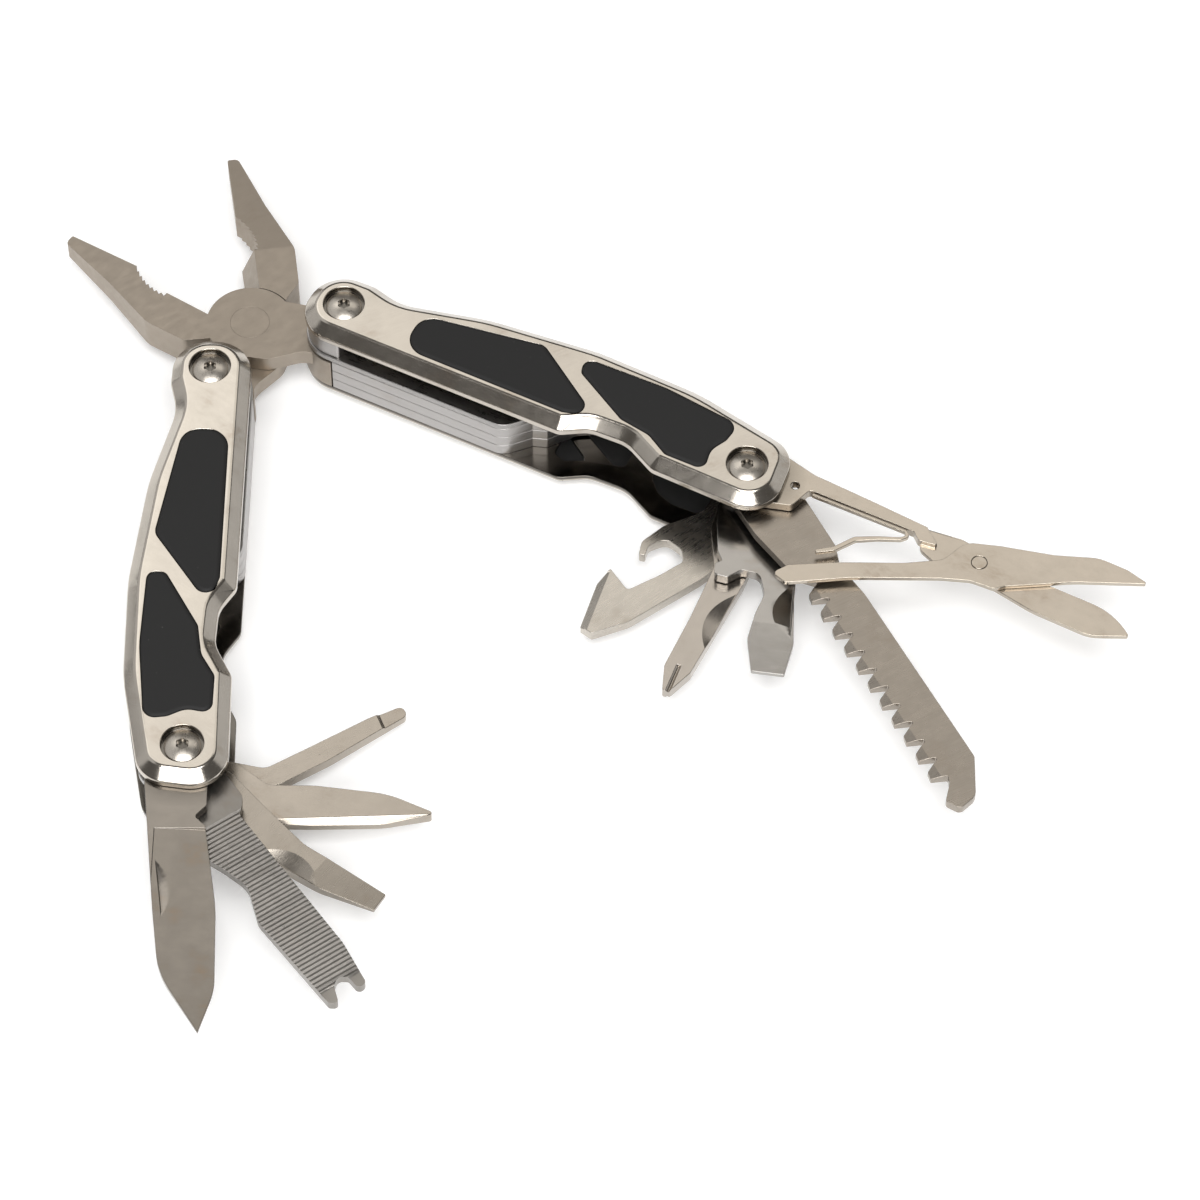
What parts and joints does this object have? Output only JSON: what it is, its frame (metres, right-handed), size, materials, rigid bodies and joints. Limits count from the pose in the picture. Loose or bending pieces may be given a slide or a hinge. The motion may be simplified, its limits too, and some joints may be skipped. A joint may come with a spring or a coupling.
{
  "type": "folding pliers multi tool",
  "caption": "Folding needle-nose pliers whose two handles hold screwdrivers, blades, saw, file, scissors and openers on hinge posts.",
  "frame": {"origin": "the middle of the bounding box, on the plane the tool lies on, which touches the back inlays", "axes": "+Z out of the front covers; +X and +Y lie in the plane of the opened tool, with the pliers head at low X and high Y"},
  "size_m": [0.2122, 0.2087, 0.0212],
  "materials": {
    "cover_steel": "polished stainless covers with sloped bright rims",
    "jaw_steel": "satin bead-finished stainless",
    "spring_steel": "fine brushed edges",
    "liner_steel": "satin",
    "blade_steel": "polished tool steel",
    "ground_steel": "fine cross-ground blade steel",
    "file_steel": "cut file ridges",
    "screw_steel": "bright domed screws",
    "inlay_rubber": "matt black rubber",
    "washer_bronze": "thin bronze washers"
  },
  "bodies": {
    "front_jaw": {"front_jaw": "jaw_steel", "pliers_rivet": "jaw_steel"},
    "rear_jaw": {"rear_jaw": "jaw_steel"},
    "left_handle": {"left_front_cover": "cover_steel", "left_back_cover": "cover_steel", "left_front_inlays": "inlay_rubber", "left_back_inlays": "inlay_rubber", "left_liner": "liner_steel", "left_bay_spacer": "spring_steel", "left_posts": "spring_steel", "left_screws": "screw_steel", "left_pins": "spring_steel", "left_tool_washers": "washer_bronze", "left_upper_leaf_spring": "spring_steel", "left_middle_leaf_spring": "spring_steel", "left_lower_leaf_spring": "spring_steel", "left_outer_bay_spring": "spring_steel", "left_inner_bay_spring": "spring_steel"},
    "right_handle": {"right_front_cover": "cover_steel", "right_back_cover": "cover_steel", "right_front_inlays": "inlay_rubber", "right_back_inlays": "inlay_rubber", "right_liner": "liner_steel", "right_bay_spacer": "spring_steel", "right_posts": "spring_steel", "right_screws": "screw_steel", "right_pins": "spring_steel", "right_tool_washers": "washer_bronze", "right_upper_leaf_spring": "spring_steel", "right_middle_leaf_spring": "spring_steel", "right_lower_leaf_spring": "spring_steel", "right_outer_bay_spring": "spring_steel", "right_inner_bay_spring": "spring_steel"},
    "scissors": {"scissor_base": "blade_steel", "scissor_rivet": "blade_steel", "scissor_spring": "blade_steel"},
    "scissor_lever": {"scissor_lever": "blade_steel"},
    "knife": {"knife_blade": "ground_steel"},
    "file": {"file_hook_remover": "file_steel"},
    "small_screwdriver": {"small_screwdriver": "blade_steel"},
    "awl": {"awl_blade": "blade_steel"},
    "cutter": {"cutter_blade": "blade_steel"},
    "saw": {"saw_blade": "ground_steel"},
    "wide_screwdriver": {"wide_screwdriver": "blade_steel"},
    "cross_screwdriver": {"cross_screwdriver": "blade_steel"},
    "opener": {"can_bottle_opener": "blade_steel"}
  },
  "joints": [
    {"name": "pliers_pivot", "type": "hinge", "parent": "front_jaw", "child": "rear_jaw", "pos_m": [-0.0682, 0.061, 0.0075], "axis": [0, 0, 1], "range_deg": [0, 22]},
    {"name": "left_handle_fold", "type": "hinge", "parent": "rear_jaw", "child": "left_handle", "pos_m": [-0.07467, 0.04282, 0.0075], "axis": [0, 0, -1], "range_deg": [0, 104]},
    {"name": "right_handle_fold", "type": "hinge", "parent": "front_jaw", "child": "right_handle", "pos_m": [-0.04905, 0.05858, 0.0075], "axis": [0, 0, 1], "range_deg": [0, 104]},
    {"name": "knife_fold", "type": "hinge", "parent": "left_handle", "child": "knife", "pos_m": [-0.07529, -0.04518, 0.0075], "axis": [0, 0, 1], "range_deg": [-0.5, 178]},
    {"name": "file_fold", "type": "hinge", "parent": "left_handle", "child": "file", "pos_m": [-0.07529, -0.04518, 0.0075], "axis": [0, 0, 1], "range_deg": [-35, 144]},
    {"name": "small_screwdriver_fold", "type": "hinge", "parent": "left_handle", "child": "small_screwdriver", "pos_m": [-0.07529, -0.04518, 0.0075], "axis": [0, 0, 1], "range_deg": [-53, 116]},
    {"name": "awl_fold", "type": "hinge", "parent": "left_handle", "child": "awl", "pos_m": [-0.07529, -0.04518, 0.0075], "axis": [0, 0, 1], "range_deg": [-82, 91]},
    {"name": "cutter_fold", "type": "hinge", "parent": "left_handle", "child": "cutter", "pos_m": [-0.07529, -0.04518, 0.0075], "axis": [0, 0, 1], "range_deg": [-113, 58]},
    {"name": "scissors_fold", "type": "hinge", "parent": "right_handle", "child": "scissors", "pos_m": [0.03018, 0.02028, 0.0075], "axis": [0, 0, -1], "range_deg": [0, 138]},
    {"name": "saw_fold", "type": "hinge", "parent": "right_handle", "child": "saw", "pos_m": [0.03018, 0.02028, 0.0075], "axis": [0, 0, -1], "range_deg": [-36, 141]},
    {"name": "wide_screwdriver_fold", "type": "hinge", "parent": "right_handle", "child": "wide_screwdriver", "pos_m": [0.03018, 0.02028, 0.0075], "axis": [0, 0, -1], "range_deg": [-72, 107]},
    {"name": "cross_screwdriver_fold", "type": "hinge", "parent": "right_handle", "child": "cross_screwdriver", "pos_m": [0.03018, 0.02028, 0.0075], "axis": [0, 0, -1], "range_deg": [-84, 87]},
    {"name": "opener_fold", "type": "hinge", "parent": "right_handle", "child": "opener", "pos_m": [0.03018, 0.02028, 0.0075], "axis": [0, 0, -1], "range_deg": [-115, 62]},
    {"name": "scissor_lever_close", "type": "hinge", "parent": "scissors", "child": "scissor_lever", "pos_m": [0.07446, -0.00024, 0.0075], "axis": [0, 0, -1], "range_deg": [0, 21], "stiffness_Nm_per_rad": 0.05, "deforming": ["scissor_spring"]}
  ]
}
